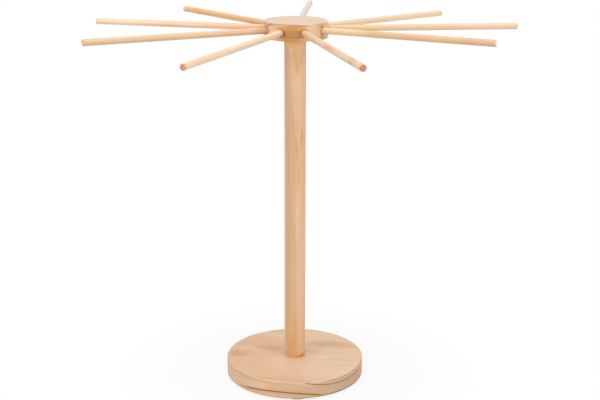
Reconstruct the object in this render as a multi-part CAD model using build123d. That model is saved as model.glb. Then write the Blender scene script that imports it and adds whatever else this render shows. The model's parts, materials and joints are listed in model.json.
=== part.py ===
from build123d import *
import math
import os

# Pasta drying rack: nine dowel arms plugged into a round head on a post with a disc base, all in pine.
# The origin is on the post's axis, on the surface that the rack stands on.
# +Z is up and -Y is the front. Lengths are in millimetres and angles in degrees.

# Base disc, cut from a planed board
base_d = 158.0
base_t = 19.5
base_top_edge_r = 1.5
base_low_edge_r = 1.0
post_seat_depth = 6.0

# Post, a 24 mm dowel that stands in the base's seat
post_d = 24.0
post_show = 373.5
post_edge = 0.5

# Head disc, from a thinner board. Its bore for the pivot is a little off its centre.
head_d = 70.0
head_t = 18.5
head_edge_r = 1.1
head_offset = 1.0

# Dowel pivot between the post and the head
pivot_d = 10.0
pivot_in_post = 22.0
pivot_in_head = 12.0
pivot_edge = 0.8
pivot_end_room = 1.0

# Arms, 7 mm dowels in blind radial sockets at the head's mid height
arm_d = 7.0
arm_length = 216.0
arm_edge = 0.5
arm_socket_depth = 16.0
socket_mouth_d = 8.8
socket_mouth_depth = 1.4
first_arm_turn = -145.5
# Each socket was drilled by hand, so each arm strays a little in turn, rise and place from the even pattern.
arm_turn_errors = (1.2, -1.2, 1.0, 0.96, 0.1, 0.6, -1.0, -2.0, 0.82)
arm_rises = (-0.7, -0.34, 0.0, -0.9, -0.55, 1.3, 0.3, -0.9, -0.2)
arm_count = len(arm_rises)
# How far each arm's axis passes beside the head's middle, as a share of the arm's diameter
arm_side_shares = (0, 0, 0, -0.4, 0, 0, 0, 0, 0.2)
# How far each arm's inner end stops short of its socket's floor, as a share of the socket's depth
arm_gap_shares = (0.02, 0.12, 0.15, 0.46, 0.26, 0.27, 0.50, 0.21, 0.05)

# Countersunk wood screw from below, through the base into the post
screw_d = 5.0
screw_core_d = 3.4
screw_length = 45.0
screw_head_d = 9.6
screw_sink = 0.5
screw_plain = 11.5
screw_tip = 4.0
thread_pitch = 2.2
recess_width = 1.1
recess_span = 4.6
recess_depth = 2.2

# Foot pads, self-adhesive felt discs under the base
pad_count = 3
pad_d = 24.0
pad_t = 2.5
pad_edge_r = 0.5
pad_inset = 3.0
first_pad_turn = 3.0

# Clearances, all radial
turning_gap = 0.06
plug_gap = 0.05
seat_gap = 0.05
screw_gap = 0.3
cut_over = 1.0

# Heights, from the surface up
base_top = pad_t + base_t
seat_floor = base_top - post_seat_depth
post_top = base_top + post_show
head_top = post_top + head_t
arm_height = post_top + head_t / 2
screw_low = pad_t + screw_sink

from_below = (Align.CENTER, Align.CENTER, Align.MIN)


def upright(diameter, low, high):
    """Round bar or bore on the post's axis between two heights."""
    return Pos(0, 0, low) * Cylinder(diameter / 2, high - low, align=from_below)


def direction(turn, rise):
    """Unit vector: turn is measured from the front towards +X, rise from the horizontal."""
    flat = math.cos(math.radians(rise))
    across = flat * math.sin(math.radians(turn))
    back = -flat * math.cos(math.radians(turn))
    return Vector(across, back, math.sin(math.radians(rise)))


def rim_edges(solid, height):
    """The outer rim of a disc at one of its faces."""
    circles = solid.edges().filter_by(GeomType.CIRCLE)
    rims = [edge for edge in circles if abs(edge.center().Z - height) < cut_over]
    return [max(rims, key=lambda edge: edge.radius)]


def arm_turn(index):
    return first_arm_turn + index * 360 / arm_count + arm_turn_errors[index]


def arm_plane(index):
    """Plane at or beside the head's middle whose Z axis runs out along the arm."""
    middle = Vector(head_offset, 0, arm_height)
    beside = direction(arm_turn(index) + 90, 0) * arm_side_shares[index] * arm_d
    return Plane(origin=middle + beside, z_dir=direction(arm_turn(index), arm_rises[index]))


def socket_floor():
    """Distance of every socket's floor from the head's middle."""
    return head_d / 2 - arm_socket_depth


def make_base():
    disc = upright(base_d, pad_t, base_top)
    disc = fillet(rim_edges(disc, base_top), base_top_edge_r)
    disc = fillet(rim_edges(disc, pad_t), base_low_edge_r)
    disc -= upright(post_d + 2 * seat_gap, seat_floor, base_top + cut_over)
    disc -= upright(screw_d + 2 * screw_gap, pad_t - cut_over, base_top)
    disc -= upright(screw_head_d + 2 * screw_gap, pad_t - cut_over, screw_low)
    disc -= screw_cone()
    return disc


def screw_cone():
    """The screw's 90 degree head, which is also the countersink that it seats in."""
    height = (screw_head_d - screw_d) / 2
    cone = Cone(screw_head_d / 2, screw_d / 2, height, align=from_below)
    return Pos(0, 0, screw_low) * cone


def make_post():
    post = upright(post_d, seat_floor, post_top)
    ends = rim_edges(post, seat_floor) + rim_edges(post, post_top)
    post = chamfer(ends, post_edge)
    post -= upright(pivot_d + 2 * turning_gap, post_top - pivot_in_post - pivot_end_room, post_top + cut_over)
    post -= upright(screw_core_d, seat_floor - cut_over, screw_low + screw_length)
    return post


def make_screw():
    core = screw_core_d / 2
    crest = screw_d / 2
    thread_start = screw_low + screw_plain
    tip_start = screw_low + screw_length - screw_tip
    turns = int((tip_start - thread_start) / thread_pitch)
    outline = [(0, screw_low), (crest, screw_low), (crest, thread_start)]
    for turn in range(turns):
        low = thread_start + turn * thread_pitch
        root = [(core, low + thread_pitch / 4), (core, low + thread_pitch / 2)]
        outline += root + [(crest, low + thread_pitch)]
    outline += [(core, tip_start + thread_pitch / 2), (0, screw_low + screw_length)]
    half = make_face(Plane.XZ * Polyline(*outline, close=True))
    screw = revolve(half, Axis.Z, 360) + screw_cone()
    slot = Box(recess_span, recess_width, recess_depth, align=from_below)
    screw -= Pos(0, 0, screw_low) * slot
    screw -= Pos(0, 0, screw_low) * Rot(0, 0, 90) * slot
    return screw


def make_pivot():
    pivot = upright(pivot_d, post_top - pivot_in_post, post_top + pivot_in_head)
    return chamfer(pivot.edges().filter_by(GeomType.CIRCLE), pivot_edge)


def make_head():
    disc = Pos(head_offset, 0, 0) * upright(head_d, post_top, head_top)
    rims = rim_edges(disc, post_top) + rim_edges(disc, head_top)
    disc = fillet(rims, head_edge_r)
    disc -= upright(pivot_d + 2 * turning_gap, post_top - cut_over, post_top + pivot_in_head + pivot_end_room)
    for index in range(arm_count):
        disc -= arm_plane(index) * Pos(0, 0, socket_floor()) * socket_bit()
    return disc


def socket_bit():
    """What one socket takes out of the head: its bore and its countersunk mouth."""
    bore_r = arm_d / 2 + plug_gap
    bore = Cylinder(bore_r, arm_socket_depth + cut_over, align=from_below)
    spread = (socket_mouth_d / 2 - bore_r) / socket_mouth_depth
    mouth_height = socket_mouth_depth + cut_over
    mouth = Cone(bore_r, bore_r + spread * mouth_height, mouth_height, align=from_below)
    return bore + Pos(0, 0, arm_socket_depth - socket_mouth_depth) * mouth


def make_arm(index):
    arm = Cylinder(arm_d / 2, arm_length, align=from_below)
    arm = chamfer(arm.edges().filter_by(GeomType.CIRCLE), arm_edge)
    inner_end = socket_floor() + arm_gap_shares[index] * arm_socket_depth
    return arm_plane(index) * Pos(0, 0, inner_end) * arm


def make_pad(index):
    pad = Cylinder(pad_d / 2, pad_t, align=from_below)
    pad = fillet(rim_edges(pad, 0), pad_edge_r)
    reach = base_d / 2 - pad_inset - pad_d / 2
    place = direction(first_pad_turn + index * 360 / pad_count, 0) * reach
    return Pos(place.X, place.Y, 0) * pad


def all_nodes():
    nodes = {
        "base_disc": make_base(),
        "post": make_post(),
        "base_screw": make_screw(),
        "head_pivot": make_pivot(),
        "head_disc": make_head(),
    }
    for index in range(pad_count):
        nodes[f"foot_pad_{index + 1}"] = make_pad(index)
    for index in range(arm_count):
        nodes[f"arm_{index + 1}"] = make_arm(index)
    return nodes


os.makedirs("parts", exist_ok=True)
for node, shape in all_nodes().items():
    export_step(shape, f"parts/{node}.step")
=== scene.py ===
import json
import math
import bpy
from mathutils import Matrix, Vector


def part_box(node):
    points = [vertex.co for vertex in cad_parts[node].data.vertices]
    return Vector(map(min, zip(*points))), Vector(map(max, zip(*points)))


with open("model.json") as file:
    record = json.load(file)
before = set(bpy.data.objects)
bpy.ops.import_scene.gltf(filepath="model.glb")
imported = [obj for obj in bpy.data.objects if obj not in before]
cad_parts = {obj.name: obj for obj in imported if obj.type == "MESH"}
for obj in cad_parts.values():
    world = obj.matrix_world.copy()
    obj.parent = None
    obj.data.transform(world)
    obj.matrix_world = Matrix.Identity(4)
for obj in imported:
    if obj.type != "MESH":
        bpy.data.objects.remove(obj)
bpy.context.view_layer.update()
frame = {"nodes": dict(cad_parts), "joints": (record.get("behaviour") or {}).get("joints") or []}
nodes = frame["nodes"]
print("stage 1: frame loaded,", len(nodes), "nodes")

millimetres = 1000.0  # in a metre
firstColour, secondColour, mixedColour = 6, 7, 2  # sockets of the Mix node


# Shader maths

class Flow:
    # a socket that can stand in a Python expression
    def __init__(self, board, socket):
        self.board = board
        self.socket = socket

    def isVector(self):
        return self.socket.type in ("VECTOR", "RGBA")

    def __add__(self, other):
        return self.board.op("ADD", self, other)

    def __radd__(self, other):
        return self.board.op("ADD", other, self)

    def __sub__(self, other):
        return self.board.op("SUBTRACT", self, other)

    def __rsub__(self, other):
        return self.board.op("SUBTRACT", other, self)

    def __mul__(self, other):
        return self.board.op("MULTIPLY", self, other)

    def __rmul__(self, other):
        return self.board.op("MULTIPLY", other, self)

    def __truediv__(self, other):
        return self.board.op("DIVIDE", self, other)

    def __pow__(self, other):
        return self.board.op("POWER", self, other)

    def __abs__(self):
        return self.board.op("ABSOLUTE", self)


class Board:
    # the node tree of one material or world
    def __init__(self, owner):
        owner.use_nodes = True
        self.owner = owner
        self.tree = owner.node_tree
        self.tree.nodes.clear()

    def add(self, kind, settings=None, sockets=None, output=0):
        node = self.tree.nodes.new(kind)
        for key, value in (settings or {}).items():
            setattr(node, key, value)
        for key, value in (sockets or {}).items():
            if isinstance(value, Flow):
                self.tree.links.new(value.socket, node.inputs[key])
            else:
                node.inputs[key].default_value = value
        return Flow(self, node.outputs[output]) if node.outputs else None

    def op(self, name, *parts):
        # maths on numbers, or on vectors where any part is one
        if any(isinstance(part, Flow) and part.isVector() for part in parts):
            parts = [part if isinstance(part, (Flow, tuple)) else (part,) * 3 for part in parts]
            return self.add("ShaderNodeVectorMath", {"operation": name}, dict(enumerate(parts)))
        return self.add("ShaderNodeMath", {"operation": name}, dict(enumerate(parts)))

    def dot(self, vector, constant):
        sockets = {0: vector, 1: tuple(constant)}
        return self.add("ShaderNodeVectorMath", {"operation": "DOT_PRODUCT"}, sockets, "Value")

    def length(self, vector):
        return self.add("ShaderNodeVectorMath", {"operation": "LENGTH"}, {0: vector}, "Value")

    def join(self, x, y, z):
        return self.add("ShaderNodeCombineXYZ", {}, {0: x, 1: y, 2: z})

    def noise(self, place, detail=2.0, rough=0.5):
        sockets = {"Vector": place, "Scale": 1.0, "Detail": detail, "Roughness": rough}
        return self.add("ShaderNodeTexNoise", {}, sockets)

    def rise(self, value, low, high):
        # 0 below low, 1 above high and smooth between
        sockets = {"Value": value, "From Min": low, "From Max": high}
        return self.add("ShaderNodeMapRange", {"interpolation_type": "SMOOTHSTEP"}, sockets)

    def window(self, value, low, high, soft):
        # 1 between low and high, with soft ends
        return self.rise(value, low - soft, low + soft) * (1.0 - self.rise(value, high - soft, high + soft))

    def blend(self, factor, first, second, kind="MIX"):
        settings = {"data_type": "RGBA", "blend_type": kind}
        sockets = {0: factor, firstColour: self.paint(first), secondColour: self.paint(second)}
        return self.add("ShaderNodeMix", settings, sockets, mixedColour)

    def paint(self, colour):
        return colour if isinstance(colour, Flow) else (*colour, 1.0)

    def bump(self, strength, distance, height):
        return self.add("ShaderNodeBump", {}, {"Strength": strength, "Distance": distance, "Height": height})

    def placeFrom(self, centre=(0.0, 0.0, 0.0)):
        # where a point of the surface is, in millimetres from the centre
        coords = self.add("ShaderNodeTexCoord", {}, {}, "Object")
        return (coords - tuple(centre)) * millimetres

    def surface(self, shader, kind="ShaderNodeOutputMaterial"):
        self.add(kind, {}, {"Surface": shader})
        return self.owner


# Wood: rings about a pith line along the grain, fibres, canals and each piece's own marks, some of which are
# painted light and shade.
# Places in it are (u, v, w), in millimetres from the piece's middle: u runs along the grain. On the discs
# they are X, Y and Z, on the post Z, X and Y, and on an arm outwards, sideways and up.

# Noises: how often each repeats along and across the grain, per millimetre, its detail and its roughness
grainNoises = {
    "slow": (0.006, 0.022, 2.0, 0.5),
    "drift": (0.010, 0.03, 2.0, 0.5),
    "cloud": (0.011, 0.05, 2.0, 0.5),
    "streaks": (0.02, 0.35, 3.0, 0.5),
    "fibre": (0.035, 1.3, 4.0, 0.62),
    "hair": (0.11, 5.0, 3.0, 0.6),
    "pores": (0.16, 3.1, 1.0, 0.5),
}
noiseMiddle = 0.5

grainLook = {
    # where a mask starts and where it is full
    "ringStart": (0.30, 0.92),
    "ringEnd": (0.95, 0.995),
    "canalEdge": (0.70, 0.78),
    "fibreEdge": (0.45, 0.85),
    "hairEdge": (0.5, 0.9),
    "cutEdge": (0.35, 0.85),
    "endFace": (0.45, 0.95),
    "wideFace": (0.75, 0.97),
    # rings, fibres and cut ends
    "ringCurve": 1.8,  # how late a ring turns dark
    "faintestRing": 0.35,
    "unevenScale": 0.07,
    "driftShift": 7.3,  # keeps the drift noise apart from the others
    "hairShare": 0.7,  # of the fibres' strength
    "cutRings": 0.7,
    "cutHair": 0.5,
    # how far each feature raises the surface, or sinks it
    "lateHeight": 0.5,
    "fibreHeight": 0.6,
    "hairHeight": 0.35,
    "canalDepth": 0.4,
    "bandHeight": 0.4,
    "reliefDepth": 0.0002,  # metres
    # how much each changes the roughness
    "lateGloss": 0.08,
    "hairRough": 0.10,
    "endRough": 0.12,
    # the strong rings and bands of painted shade, and the marks
    "bandWaver": 0.6,
    "bandFade": 8.0,
    "markFray": 0.5,
}
# the share of its half size within which a mark is at full strength
markCores = {"shades": 0.5, "streaks": 0.2}


def grainAxes(grain):
    along = Vector(grain).normalized()
    upright = abs(along.z) > 0.9
    helper = Vector((0, 1, 0)) if upright else Vector((0, 0, 1))
    side = helper.cross(along).normalized()
    return along, side, along.cross(side)


def grainNoise(board, kind, spot, shiftAlong=0.0, shiftSide=0.0):
    u, v, w = spot
    along, across, detail, rough = grainNoises[kind]
    return board.noise(board.join(u * along + shiftAlong, v * across + shiftSide, w * across), detail, rough)


def pineRings(board, wood, spot, slow):
    # the late wood of each ring, and how far across its ring a point is
    u, v, w = spot
    seed = wood["seed"]
    drift = grainNoise(board, "drift", spot, seed + grainLook["driftShift"])
    pithSide, pithUp = wood["pith"]
    x = v - pithSide + (slow - noiseMiddle) * wood["wander"] + u * wood["leanSide"]
    y = w - pithUp + (drift - noiseMiddle) * wood["wander"] + u * wood["leanUp"]
    radius = board.length(board.join(x, y, 0.0))
    uneven = board.noise(board.join(radius * grainLook["unevenScale"] + seed, seed, seed), detail=1.0)
    phase = radius / wood["ringGap"] + (uneven - noiseMiddle) * wood["uneven"]
    share = board.op("FRACT", phase)
    number = board.op("FLOOR", phase)
    chance = board.add("ShaderNodeTexWhiteNoise", {"noise_dimensions": "1D"}, {"W": number + seed})
    faintest = grainLook["faintestRing"]
    darkening = board.rise(share, *grainLook["ringStart"]) ** grainLook["ringCurve"]
    late = darkening * (1.0 - board.rise(share, *grainLook["ringEnd"]))
    return late * (chance * (1.0 - faintest) + faintest), share


def softMark(board, mark, core, spot, streaks):
    # how strongly a stain, line or patch shows, painted light and shade among them, with soft edges that
    # follow the fibres
    u, v, w = spot
    (centreU, centreV, centreW), (long, wide, deep), turn, amount, _ = mark
    cosine = math.cos(math.radians(turn))
    sine = math.sin(math.radians(turn))
    x = (u - centreU) * cosine + (v - centreV) * sine
    y = (v - centreV) * cosine - (u - centreU) * sine
    fray = (streaks - noiseMiddle) * grainLook["markFray"]
    away = board.length(board.join(x / long, y / wide, (w - centreW) / deep)) + fray
    return (1.0 - board.rise(away, core, 1.0)) * amount


def ringAndShadeBand(board, band, spot, waver):
    # a band with a sharp upper edge and a soft lower one: a growth ring that shows strongly, and also each
    # line or layer of painted shade
    u, v, w = spot
    top = band["up"] + u * band.get("lean", 0.0) + waver * grainLook["bandWaver"]
    for key, way in (("bowAlong", u), ("bowAcross", v)):
        if key in band:
            peak, bend = band[key]
            offset = way - peak
            top = top - offset * offset * bend
    below = top - w
    sharp = band["sharp"]
    inside = board.rise(below, -sharp, sharp) * (1.0 - board.rise(below, sharp, band["thick"]))
    low, high = band["reach"]
    return inside * board.window(u, low, high, band.get("fade", grainLook["bandFade"])) * band["amount"]


def pine(name, wood):
    board = Board(bpy.data.materials.new(name))
    along, side, up = grainAxes(wood["grain"])
    place = board.placeFrom(wood["centre"])
    spot = (board.dot(place, along), board.dot(place, side), board.dot(place, up))
    normal = board.add("ShaderNodeTexCoord", {}, {}, "Normal")
    endGrain = board.rise(abs(board.dot(normal, along)), *grainLook["endFace"])
    face = board.rise(abs(board.dot(normal, up)), *grainLook["wideFace"])

    seed = wood["seed"]
    slow = grainNoise(board, "slow", spot, seed)
    cloud = grainNoise(board, "cloud", spot, seed)
    streaks = grainNoise(board, "streaks", spot, 0.0, seed)
    fibre = grainNoise(board, "fibre", spot, seed)
    hair = grainNoise(board, "hair", spot, 0.0, seed)
    canals = board.rise(grainNoise(board, "pores", spot, seed), *grainLook["canalEdge"])
    late, share = pineRings(board, wood, spot, slow)

    tone = board.blend(cloud, wood["cream"], wood["blush"])
    lateShown = late * (1.0 - face * wood["faceFade"]) * wood["lateAmount"]
    tone = board.blend(lateShown, tone, wood["late"])
    for kind, core in markCores.items():
        for mark in wood.get(kind, []):
            tone = board.blend(softMark(board, mark, core, spot, streaks), tone, mark[-1])
    bandHeight = 0.0
    for band in wood.get("bands", []):
        dark = ringAndShadeBand(board, band, spot, slow - noiseMiddle) * (1.0 - face)
        tone = board.blend(dark, tone, band.get("colour", wood["ringAndShadeDark"]))
        bandHeight = dark * grainLook["bandHeight"] + bandHeight
    fibres = board.rise(fibre, *grainLook["fibreEdge"]) * wood["fibre"]
    hairs = board.rise(hair, *grainLook["hairEdge"]) * wood["fibre"] * grainLook["hairShare"]
    tone = board.blend(fibres, tone, wood["late"])
    tone = board.blend(hairs, tone, wood["pale"])
    tone = board.blend(canals * wood["canals"], tone, wood["canal"])
    cutRings = board.rise(share * grainLook["cutRings"] + hair * grainLook["cutHair"], *grainLook["cutEdge"])
    cut = board.blend(cutRings, wood["end"], wood["endRing"])
    tone = board.blend(endGrain * wood["endAmount"], tone, cut, "MULTIPLY")

    fibreHeight = fibre * grainLook["fibreHeight"] + hair * grainLook["hairHeight"]
    height = late * grainLook["lateHeight"] + fibreHeight - canals * grainLook["canalDepth"] + bandHeight
    rough = wood["rough"] - late * grainLook["lateGloss"] + (hair - noiseMiddle) * grainLook["hairRough"]
    sockets = {
        "Base Color": tone,
        "Roughness": rough + endGrain * grainLook["endRough"],
        "Normal": board.bump(wood["relief"], grainLook["reliefDepth"], height),
        "Specular IOR Level": 0.5,
        "IOR": 1.5,
    }
    return board.surface(board.add("ShaderNodeBsdfPrincipled", {}, sockets))


def middle(node):
    low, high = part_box(node)
    return (low + high) / 2


def halfSize(node):
    low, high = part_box(node)
    return (high - low) / 2 * millimetres


def dress(node, material):
    mesh = nodes[node].data
    mesh.materials.clear()
    mesh.materials.append(material)
    for polygon in mesh.polygons:
        polygon.material_index = 0


# Linear colours, and amounts from 0 to 1
plainPine = {
    "cream": (0.72, 0.475, 0.290),
    "blush": (0.66, 0.405, 0.235),
    "late": (0.46, 0.225, 0.095),
    # dark of the strong rings, also of the painted shade line on the head between arms 4 and 5
    "ringAndShadeDark": (0.21, 0.075, 0.018),
    "pale": (0.80, 0.56, 0.36),
    "canal": (0.27, 0.13, 0.06),
    "end": (0.80, 0.66, 0.54),
    "endRing": (0.60, 0.42, 0.30),
    "faceFade": 0.75,  # how much the rings fade on a board's wide faces
    "fibre": 0.22,
    "canals": 0.3,
    "endAmount": 0.6,
    "relief": 0.25,
    "rough": 0.46,
}

# Base disc. Each mark holds its place, its half sizes, its turn in degrees, its strength and its colour.
# Each band holds the height of its upper edge, how it leans and bows, how sharp that edge is, its thickness,
# its reach along u and its strength.

baseTop = halfSize("base_disc")[2]  # the top face
basePine = {
    **plainPine,
    "grain": (1, 0, 0),
    "centre": middle("base_disc"),
    "pith": (-100.0, -165.0),  # the middle of the tree, sideways and up
    "leanSide": 0.0,  # how far the rings lean for each millimetre along the grain
    "leanUp": 0.08,
    "ringGap": 5.4,
    "uneven": 0.8,  # how much the gaps differ
    "wander": 3.0,  # how far the rings stray from circles
    "lateAmount": 0.22,
    "endAmount": 0.2,
    "seed": 3.0,
    "bands": [
        # orange wood, and in it the long dark ring low on the front rim
        {"up": -0.2, "bowAlong": (-18.0, 0.0023), "sharp": 0.8, "thick": 6.5, "reach": (-62, 35),
         "amount": 0.6, "colour": (0.62, 0.32, 0.11)},
        {"up": -1.4, "bowAlong": (-18.0, 0.0023), "sharp": 0.35, "thick": 2.2, "reach": (-56, 31),
         "amount": 1.0, "colour": (0.20, 0.055, 0.006)},
        # the rim's two right rings, of which the lower starts at the top edge, sinks and rises again
        {"up": 3.4, "bowAlong": (54.0, -0.0036), "sharp": 0.35, "thick": 1.9, "reach": (11, 82),
         "amount": 0.9},
        {"up": 8.3, "bowAlong": (49.0, -0.0010), "sharp": 0.35, "thick": 1.3, "reach": (36, 84),
         "amount": 0.7},
        # painted shade under the top edge at the left, a dark line along it
        {"up": 8.7, "sharp": 0.3, "thick": 1.4, "reach": (-66, 0), "amount": 0.5,
         "colour": (0.44, 0.22, 0.09)},
        # painted shade along the lower edge at the right
        {"up": -7.7, "sharp": 0.35, "thick": 3.0, "reach": (34, 84), "amount": 0.75,
         "colour": (0.20, 0.13, 0.08)},
    ],
    "shades": [
        # the paler front, left of the rim and back
        ((38, -22, baseTop), (85, 62, 7), 0, 0.8, (0.76, 0.545, 0.385)),
        ((-66, -40, -2), (44, 34, 12), 0, 0.55, (0.76, 0.56, 0.40)),
        ((40, 45, baseTop), (70, 34, 6), 0, 0.6, (0.78, 0.575, 0.415)),
        # the orange knot at the left
        ((-67, 4, baseTop), (19, 9, 6), 4, 0.8, (0.62, 0.315, 0.12)),
        # the rim's pale front left, and orange wood behind the knot
        ((-42, -66, 2), (26, 14, 8), 0, 0.45, (0.82, 0.57, 0.39)),
        ((-60, 32, baseTop), (22, 9, 6), 12, 0.45, (0.66, 0.36, 0.17)),
        # the rim: orange low at the left, browner at the right, and darkest below with painted shade along
        # the bottom
        ((-30, -70, -8), (45, 30, 4), 0, 0.5, (0.72, 0.43, 0.24)),
        ((40, -58, -1), (85, 50, 10), 0, 0.75, (0.58, 0.385, 0.25)),
        ((38, -60, -10), (95, 70, 3.4), 0, 0.7, (0.42, 0.27, 0.165)),
        # pale, lilac and orange patches on the top, and beside the post's foot painted shade with the post's
        # orange reflection
        ((-28, 60, baseTop), (30, 8, 5), 0, 0.5, (0.74, 0.56, 0.42)),
        ((-56, 22, baseTop), (13, 7, 5), 0, 0.45, (0.66, 0.52, 0.45)),
        ((-28, 36, baseTop), (28, 12, 5), -8, 0.5, (0.72, 0.43, 0.21)),
        ((-20, 4, baseTop), (13, 9, 5), 0, 0.55, (0.70, 0.39, 0.25)),
        ((20, 9, baseTop), (17, 8, 5), 0, 0.5, (0.70, 0.43, 0.20)),
        ((70, 1, baseTop), (9, 17, 5), 0, 0.5, (0.80, 0.54, 0.30)),
    ],
    "streaks": [
        # behind the post, on both its sides
        ((38, 30, baseTop), (42, 15, 5), -5, 0.7, (0.60, 0.35, 0.155)),
        ((61, 25, baseTop), (22, 10, 5), -12, 0.65, (0.66, 0.37, 0.18)),
        ((-31, 19, baseTop), (28, 10, 5), -17, 0.65, (0.58, 0.32, 0.14)),
        # about the orange knot
        ((-65, -3.5, baseTop), (13, 1.5, 4), 2, 0.6, (0.42, 0.19, 0.07)),
        ((-70, 13, baseTop), (13, 1.3, 4), 65, 0.45, (0.46, 0.22, 0.09)),
        ((-68, 8, baseTop), (2.2, 1.6, 3), 0, 0.7, (0.34, 0.15, 0.06)),
        # fine lines at the right and in front of the post, and painted shade in a line along the front left
        # edge
        ((50, -15, baseTop), (26, 2.2, 4), -13, 0.6, (0.60, 0.35, 0.17)),
        ((30, -7, baseTop), (24, 3.0, 4), -16, 0.6, (0.86, 0.66, 0.47)),
        ((44, -31, baseTop), (24, 2.0, 4), -6, 0.45, (0.62, 0.38, 0.21)),
        ((71, -17.5, baseTop), (6, 1.2, 4), 0, 0.45, (0.50, 0.27, 0.12)),
        ((-27, -67, baseTop), (28, 1.8, 4), -15, 0.7, (0.54, 0.30, 0.14)),
    ],
}
dress("base_disc", pine("basePine", basePine))

# Head disc

headTop = halfSize("head_disc")[2]
headPine = {
    **plainPine,
    "grain": (1, 0, 0),
    "centre": middle("head_disc"),
    "pith": (-60.0, -90.0),
    "leanSide": 0.0,
    "leanUp": 0.05,
    "ringGap": 5.0,
    "uneven": 0.6,
    "wander": 2.0,
    "lateAmount": 0.25,
    "endAmount": 0.3,
    "seed": 11.0,
    "bands": [
        # the dark line just under the top edge, a ring with painted shade of the edge, and its end at the
        # left, which dives
        {"up": 8.9, "lean": -0.05, "bowAcross": (-35.0, 0.0125), "sharp": 0.3, "thick": 1.6,
         "reach": (-24, 12), "fade": 2.0, "amount": 0.85, "colour": (0.30, 0.12, 0.035)},
        {"up": 9.0, "bowAcross": (-26.0, 0.043), "sharp": 0.3, "thick": 2.0,
         "reach": (-50, -25), "fade": 1.5, "amount": 1.0, "colour": (0.40, 0.18, 0.06)},
        # painted shade between the sockets of arms 4 and 5, where the arms shade the rim: a brown layer and
        # a thin dark line below it
        {"up": 2.6, "lean": 0.03, "bowAcross": (-35.0, 0.0135), "sharp": 0.4, "thick": 7.6,
         "reach": (-13, 9), "fade": 3.0, "amount": 0.55, "colour": (0.44, 0.19, 0.055)},
        {"up": -3.8, "lean": 0.03, "bowAcross": (-35.0, 0.0135), "sharp": 0.4, "thick": 1.6,
         "reach": (-13, 9), "fade": 3.0, "amount": 0.5},
    ],
    "shades": [
        # the orange front, darker with painted shade, the pinkish top, the rim's pale sides, and a painted
        # highlight along its upper edge
        ((-6, -33, -2), (20, 14, 17), 0, 0.95, (0.62, 0.27, 0.065)),
        ((0, 0, headTop + 0.35), (90, 90, 1.7), 0, 0.75, (0.66, 0.50, 0.39)),
        ((19, -29, 0), (13, 9, 14), 0, 0.6, (0.86, 0.56, 0.35)),
        ((-27, -21, 0), (13, 14, 9), 0, 0.75, (0.92, 0.62, 0.375)),
        ((4, -33, headTop), (32, 3.5, 2.5), 0, 0.5, (0.92, 0.60, 0.36)),
        ((35, -8, 0), (9, 26, 14), 0, 0.8, (0.96, 0.67, 0.44)),
    ],
    "streaks": [
        # beside arm 6's socket a dark line, and under the arm painted shade with orange bounce light
        ((27.0, -22.3, 0), (1.4, 3, 12), 0, 0.65, (0.32, 0.14, 0.05)),
        ((31, -17, -6), (4, 6, 3.5), 0, 0.35, (0.62, 0.28, 0.11)),
        # painted shadow beside arm 4's socket
        ((-12.4, -33, -1.0), (2.8, 4, 5), 0, 0.8, (0.25, 0.10, 0.03)),
    ],
}
dress("head_disc", pine("headPine", headPine))

# Post

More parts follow.
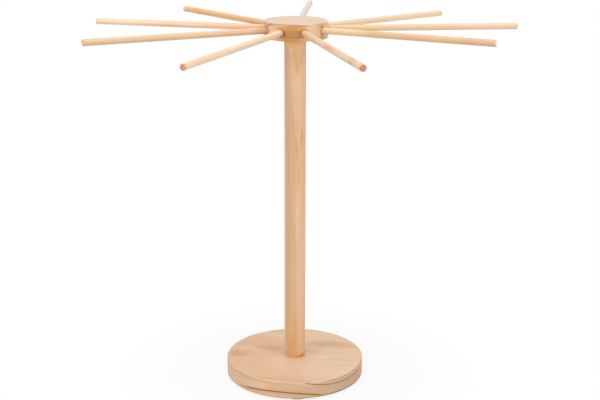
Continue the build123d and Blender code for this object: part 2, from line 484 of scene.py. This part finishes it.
postFront = -halfSize("post")[1]
postPine = {
    **plainPine,
    "cream": (0.75, 0.475, 0.275),
    "blush": (0.68, 0.405, 0.22),
    "grain": (0, 0, 1),
    "centre": middle("post"),
    "pith": (-10.0, 49.0),
    "leanSide": 0.01,
    "leanUp": -0.03,
    "ringGap": 3.6,
    "uneven": 0.8,
    "wander": 2.0,
    "faceFade": 0.0,
    "lateAmount": 0.25,
    "seed": 5.0,
    "shades": [
        # the browner left part and the paler right part of the front
        ((0, -8, -8), (260, 9, 10), 0, 0.55, (0.61, 0.355, 0.175)),
        ((0, 7.5, -9), (260, 8.5, 10), 0, 0.65, (0.80, 0.515, 0.315)),
        # pale patches in the upper half
        ((136, 2, postFront), (16, 7, 6), 0, 0.4, (0.76, 0.56, 0.37)),
        ((113, 3, postFront), (17, 6, 6), 0, 0.4, (0.80, 0.48, 0.35)),
        # the orange foot, strongest at its end
        ((-198, -2.6, postFront), (115, 7.5, 9), 0, 0.45, (0.68, 0.35, 0.12)),
        ((-182, -2.6, postFront), (34, 7.5, 9), 0, 0.45, (0.66, 0.31, 0.09)),
        # patches about the middle
        ((-6, 3, postFront), (15, 7, 6), 0, 0.4, (0.78, 0.50, 0.36)),
        ((-29, 5, -11), (10, 6, 6), 0, 0.35, (0.72, 0.54, 0.35)),
        ((-48, 3, postFront), (13, 9, 6), 0, 0.35, (0.74, 0.45, 0.24)),
        # the foot's right part, the pale left edge, and the warm top: painted shade and orange bounce light
        # under the head
        ((-180, 7, -9), (50, 7, 9), 0, 0.5, (0.76, 0.44, 0.20)),
        ((0, -12, -3), (260, 2.4, 5), 0, 0.6, (0.80, 0.62, 0.47)),
        ((188, -2, -10), (16, 16, 10), 0, 0.6, (0.86, 0.48, 0.20)),
    ],
    "streaks": [
        # fine lines all along, a warm patch near the top and an orange right edge
        ((-15, -0.7, postFront), (240, 1.8, 6), -0.64, 0.25, (0.50, 0.26, 0.11)),
        ((150, 4, postFront), (26, 20, 20), 0, 0.3, (0.86, 0.53, 0.29)),
        ((10, -6.5, postFront), (220, 1.0, 6), 0, 0.35, (0.50, 0.26, 0.11)),
        ((40, 10, -8), (90, 3.0, 7), 0, 0.65, (0.74, 0.42, 0.15)),
        # the upper pointed figure
        ((172, 3.6, postFront), (30, 6, 6), 0, 0.65, (0.74, 0.42, 0.16)),
        ((169, 0.4, postFront), (24, 2.4, 6), -9.5, 0.45, (0.60, 0.32, 0.13)),
        ((170, 7.2, -11), (24, 2.4, 6), 12, 0.4, (0.60, 0.32, 0.13)),
        # short lines between the two figures
        ((98, -2, postFront), (18, 1.5, 6), 0, 0.4, (0.50, 0.27, 0.12)),
        ((96, 3, postFront), (12, 1.5, 6), 0, 0.4, (0.50, 0.27, 0.12)),
        # the lower figure
        ((58, 5, postFront), (60, 7, 6), 0, 0.6, (0.74, 0.43, 0.17)),
        ((69, 1.5, postFront), (20, 2.0, 6), -4, 0.55, (0.54, 0.26, 0.10)),
        ((80, 7.5, -10), (17, 2.0, 6), 0, 0.55, (0.56, 0.27, 0.10)),
        ((36, 4, postFront), (24, 2.4, 6), 0, 0.4, (0.64, 0.37, 0.14)),
        # painted shade round the foot, in two dark lines at the base
        ((-181.7, 6, -8), (1.7, 12, 10), 0, 1.0, (0.36, 0.15, 0.05)),
        ((-178.8, 6, -8), (1.3, 12, 10), 0, 0.6, (0.50, 0.24, 0.09)),
    ],
}
dress("post", pine("postPine", postPine))

# Arms: each has its own tone of pine, its own pith and, where the real one has them, its own marks, among
# them painted shade and highlights

armTones = {
    "amber": {"cream": (0.82, 0.49, 0.235), "blush": (0.75, 0.42, 0.19)},
    "honey": {"cream": (0.78, 0.515, 0.295), "blush": (0.72, 0.44, 0.24)},
    "pink": {"cream": (0.88, 0.60, 0.41), "blush": (0.82, 0.53, 0.34)},
    "tan": {"cream": (0.79, 0.55, 0.33), "blush": (0.73, 0.475, 0.27)},
    "pale": {"cream": (0.92, 0.685, 0.48), "blush": (0.87, 0.62, 0.42)},
    "soft": {"cream": (0.77, 0.56, 0.39), "blush": (0.72, 0.505, 0.34)},
    "white": {"cream": (0.76, 0.645, 0.54), "blush": (0.74, 0.61, 0.50)},
}
armTip = 108  # an arm's outer end
allRound = (20, 20)  # a mark of these half sizes reaches right round an arm
armMarks = {
    # orange outwards, with a pale end, and a brown side near the head
    "arm_1": [
        ((74, 0, 0), (17, *allRound), 0, 0.8, (0.74, 0.41, 0.12)),
        ((armTip + 1, 0, 0), (12, *allRound), 0, 0.6, (0.80, 0.64, 0.46)),
        ((88, 2.5, 0), (22, 3, 3), 0, 0.6, (0.74, 0.42, 0.15)),
        ((-62, 2.5, -1.8), (52, 2.6, 2.6), 0, 0.85, (0.56, 0.27, 0.08)),
        ((-20, 3.2, 0.5), (60, 1.0, 2.0), 0, 0.4, (0.60, 0.32, 0.12)),
    ],
    # painted shade at the root, darker near the head and paler outwards
    "arm_2": [
        ((-90, 0, 0), (6, *allRound), 0, 0.5, (0.66, 0.40, 0.24)),
        ((-47, 0, 0), (32, *allRound), 0, 0.5, (0.78, 0.50, 0.33)),
        ((78, 0, 0), (60, *allRound), 0, 0.6, (0.90, 0.66, 0.48)),
    ],
    # painted shade near the head, most of all below
    "arm_3": [
        ((-92, 0, 0), (19, *allRound), 0, 0.9, (0.60, 0.33, 0.15)),
        ((-90, 0, -3.5), (8, 4, 2.6), 0, 0.9, (0.30, 0.15, 0.06)),
    ],
    # brown near the head and again outwards, with orange and pale streaks; the pale one along the top near
    # the head is a painted highlight
    "arm_5": [
        ((79, 0, 0), (15, *allRound), 0, 0.9, (0.60, 0.40, 0.22)),
        ((-54, 0, 0), (26, *allRound), 0, 0.5, (0.66, 0.41, 0.20)),
        ((5, -2, 1.5), (32, 3, 3), 0, 0.8, (0.68, 0.32, 0.09)),
        ((-82, -2.8, 0.8), (24, 1.8, 3), 0, 0.75, (0.82, 0.42, 0.14)),
        ((-72, 1.5, 3.2), (34, 2, 2), 0, 0.6, (0.90, 0.66, 0.43)),
        ((-38, -1.5, 1.5), (10, 3, 3), 0, 0.5, (0.84, 0.60, 0.48)),
    ],
    # paler near the head, browner outwards, and its white end, a painted highlight
    "arm_6": [
        ((-70, 0, 0), (46, *allRound), 0, 0.7, (0.92, 0.63, 0.36)),
        ((96, 0, 0), (58, *allRound), 0, 0.8, (0.65, 0.425, 0.235)),
        ((armTip + 0.2, 0, 0), (1.3, 8, 8), 0, 1.0, (0.97, 0.94, 0.90)),
    ],
    # tan near the head and at the middle, paler outwards
    "arm_7": [
        ((-55, 0, 0), (28, *allRound), 0, 0.7, (0.78, 0.53, 0.26)),
        ((11, 0, 0), (12, *allRound), 0, 0.7, (0.78, 0.55, 0.29)),
        ((78, 0, 0), (60, *allRound), 0, 0.5, (0.83, 0.61, 0.43)),
    ],
}
armPine = {
    **plainPine,
    "leanSide": 0.008,
    "leanUp": 0.005,
    "ringGap": 2.6,
    "uneven": 0.6,
    "wander": 1.2,
    "faceFade": 0.0,
    "lateAmount": 0.35,
    "end": (0.80, 0.56, 0.38),
    "endRing": (0.52, 0.28, 0.13),
    "endAmount": 0.9,
}
armVariety = {
    "tones": ["amber", "pink", "tan", "pale", "soft", "honey", "soft", "pale", "white"],  # arm_1 to arm_9
    # arm_6's end keeps no end-grain darkening, for its painted highlight
    "paleEnds": {"arm_3": 0.25, "arm_6": 0.0},  # instead of the usual endAmount
    "pithReach": 14,  # from the arm's middle
    "pithTurn": 2.4,  # radians from one arm's pith to the next one's
    "firstSeed": 20.0,
    "seedStep": 3.7,
}


def dressArms():
    armJoints = {joint["child"]: joint for joint in frame["joints"] if joint["child"].startswith("arm_")}
    for index, (arm, joint) in enumerate(sorted(armJoints.items())):
        turn = armVariety["pithTurn"] * index
        reach = armVariety["pithReach"]
        wood = {
            **armPine,
            **armTones[armVariety["tones"][index]],
            "grain": joint["axis"],
            "centre": middle(arm),
            "pith": (reach * math.cos(turn), reach * math.sin(turn)),
            "seed": armVariety["firstSeed"] + armVariety["seedStep"] * index,
            "streaks": armMarks.get(arm, []),
            "endAmount": armVariety["paleEnds"].get(arm, armPine["endAmount"]),
        }
        dress(arm, pine(arm + "Pine", wood))


dressArms()
print("stage 2: pine on the discs, post and arms")

# Small and hidden pieces: the pivot dowel, the screw and the felt pads

pivotWood = {
    **plainPine,
    "cream": (0.60, 0.38, 0.22),
    "blush": (0.56, 0.34, 0.19),
    "grain": (0, 0, 1),
    "centre": middle("head_pivot"),
    "pith": (40.0, 10.0),
    "leanSide": 0.0,
    "leanUp": 0.0,
    "ringGap": 1.8,
    "uneven": 0.4,
    "wander": 0.8,
    "faceFade": 0.0,
    "lateAmount": 0.2,
    "seed": 60.0,
}
dress("head_pivot", pine("pivotBeech", pivotWood))

screwLook = {
    "bright": (0.62, 0.61, 0.56),
    "dull": (0.50, 0.49, 0.42),
    "cloudScale": 0.6,
    "scuffScale": 9.0,
    "rough": 0.28,
    "scuffRough": 0.22,
    "relief": 0.15,
    "reliefDepth": 0.0001,  # metres
}


def screwSteel():
    board = Board(bpy.data.materials.new("screwSteel"))
    place = board.placeFrom()
    cloudy = board.noise(place * screwLook["cloudScale"], detail=3.0)
    scuffs = board.noise(place * screwLook["scuffScale"], detail=4.0, rough=0.7)
    sockets = {
        "Metallic": 1.0,
        "Base Color": board.blend(cloudy, screwLook["bright"], screwLook["dull"]),
        "Roughness": screwLook["rough"] + scuffs * screwLook["scuffRough"],
        "Normal": board.bump(screwLook["relief"], screwLook["reliefDepth"], scuffs),
    }
    return board.surface(board.add("ShaderNodeBsdfPrincipled", {}, sockets))


dress("base_screw", screwSteel())

feltLook = {
    "light": (0.80, 0.79, 0.77),
    "mid": (0.66, 0.65, 0.63),
    "dark": (0.60, 0.59, 0.57),
    "darkShare": 0.3,
    "fluffScale": 1.6,
    "clumpScale": 0.35,
    "relief": 0.6,
    "reliefDepth": 0.0003,  # metres
}


def padFelt():
    board = Board(bpy.data.materials.new("padFelt"))
    place = board.placeFrom()
    fluff = board.noise(place * feltLook["fluffScale"], detail=6.0, rough=0.7)
    clumps = board.noise(place * feltLook["clumpScale"])
    tone = board.blend(fluff, feltLook["mid"], feltLook["light"])
    sockets = {
        "Base Color": board.blend(clumps * feltLook["darkShare"], tone, feltLook["dark"]),
        "Roughness": 0.95,
        "Specular IOR Level": 0.1,
        "Normal": board.bump(feltLook["relief"], feltLook["reliefDepth"], fluff),
    }
    return board.surface(board.add("ShaderNodeBsdfPrincipled", {}, sockets))


felt = padFelt()
for pad in sorted(name for name in nodes if name.startswith("foot_pad_")):
    dress(pad, felt)
print("stage 3: pivot, screw and pads")

# Floor, light and camera

stage = {
    "floorHalf": 6.0,  # metres
    "floorColour": (0.72, 0.72, 0.72),
    "worldLevel": 0.50,  # the light from all round, where what is seen directly is white
    "nearGlow": 0.88,  # how white the floor shows beside the rack, where 1 hides the shadow
    "shadowReach": (0.08, 0.26),  # metres from the post between which the shadow fades out
}


def seenDirectly(board):
    # 1 for what the camera sees, also by reflection and through glass
    kinds = ("Camera", "Glossy", "Transmission")
    camera, glossy, clear = [board.add("ShaderNodeLightPath", {}, {}, f"Is {kind} Ray") for kind in kinds]
    return board.op("MAXIMUM", camera, board.op("MAXIMUM", glossy, clear))


def makeFloor():
    half = stage["floorHalf"]
    corners = [(-half, -half, 0), (half, -half, 0), (half, half, 0), (-half, half, 0)]
    mesh = bpy.data.meshes.new("floor")
    mesh.from_pydata(corners, [], [(0, 1, 2, 3)])
    floor = bpy.data.objects.new("floor", mesh)
    bpy.context.scene.collection.objects.link(floor)
    board = Board(bpy.data.materials.new("floorPaper"))
    away = board.length(board.add("ShaderNodeTexCoord", {}, {}, "Object"))
    far = board.rise(away, *stage["shadowReach"])
    white = stage["nearGlow"] + far * (1.0 - stage["nearGlow"])
    matt = board.add("ShaderNodeBsdfDiffuse", {}, {"Color": (*stage["floorColour"], 1.0)})
    glow = board.add("ShaderNodeEmission", {}, {"Strength": 1.0})
    board.surface(board.add("ShaderNodeMixShader", {}, {0: seenDirectly(board) * white, 1: matt, 2: glow}))
    mesh.materials.append(board.owner)


def makeWorld():
    board = Board(bpy.data.worlds.new("studio"))
    strength = seenDirectly(board) * (1.0 - stage["worldLevel"]) + stage["worldLevel"]
    sky = board.add("ShaderNodeBackground", {}, {"Color": (1, 1, 1, 1), "Strength": strength})
    bpy.context.scene.world = board.surface(sky, "ShaderNodeOutputWorld")


# places and sizes in metres, power in watts
lamps = {
    "overhead": {"place": (-0.3, -0.2, 2.4), "size": 2.2, "power": 33.0},
    "rightFront": {"place": (1.7, -1.7, 0.8), "size": 0.9, "power": 18.0},
    "leftFront": {"place": (-1.9, -1.6, 0.8), "size": 1.4, "power": 17.0},
}
lampTarget = (0, 0, 0.22)


def aim(obj, place, target):
    back = (Vector(place) - Vector(target)).normalized()
    obj.matrix_world = Matrix.Translation(Vector(place)) @ back.to_track_quat("Z", "Y").to_matrix().to_4x4()


def makeLamps():
    for name, lamp in lamps.items():
        light = bpy.data.lights.new(name, "AREA")
        light.shape = "SQUARE"
        light.size = lamp["size"]
        light.energy = lamp["power"]
        obj = bpy.data.objects.new(name, light)
        bpy.context.scene.collection.objects.link(obj)
        aim(obj, lamp["place"], lampTarget)


cameraView = {
    "back": 1.2943,  # metres in front of the post's axis
    "height": 0.5906,  # metres above the floor
    "pitch": 16.348,  # degrees downwards
    "yaw": 0.252,
    "roll": -0.142,
    "focal": 71.549,  # millimetres
    "sensor": 36,  # millimetres
}


def makeCamera():
    pitch, yaw, roll = (math.radians(cameraView[key]) for key in ("pitch", "yaw", "roll"))
    level = Vector((math.cos(yaw), -math.sin(yaw), 0))
    ahead = Vector((math.sin(yaw), math.cos(yaw), 0))
    forward = ahead * math.cos(pitch) - Vector((0, 0, math.sin(pitch)))
    upright = ahead * math.sin(pitch) + Vector((0, 0, math.cos(pitch)))
    right = level * math.cos(roll) - upright * math.sin(roll)
    top = level * math.sin(roll) + upright * math.cos(roll)
    turned = Matrix((right, top, -forward)).transposed().to_4x4()
    lens = bpy.data.cameras.new("camera")
    lens.lens = cameraView["focal"]
    lens.sensor_width = cameraView["sensor"]
    camera = bpy.data.objects.new("camera", lens)
    camera.matrix_world = Matrix.Translation((0, -cameraView["back"], cameraView["height"])) @ turned
    bpy.context.scene.collection.objects.link(camera)
    bpy.context.scene.camera = camera


makeFloor()
makeWorld()
makeLamps()
makeCamera()
bpy.context.scene.view_settings.view_transform = "Standard"
print("stage 4: floor, light and camera")
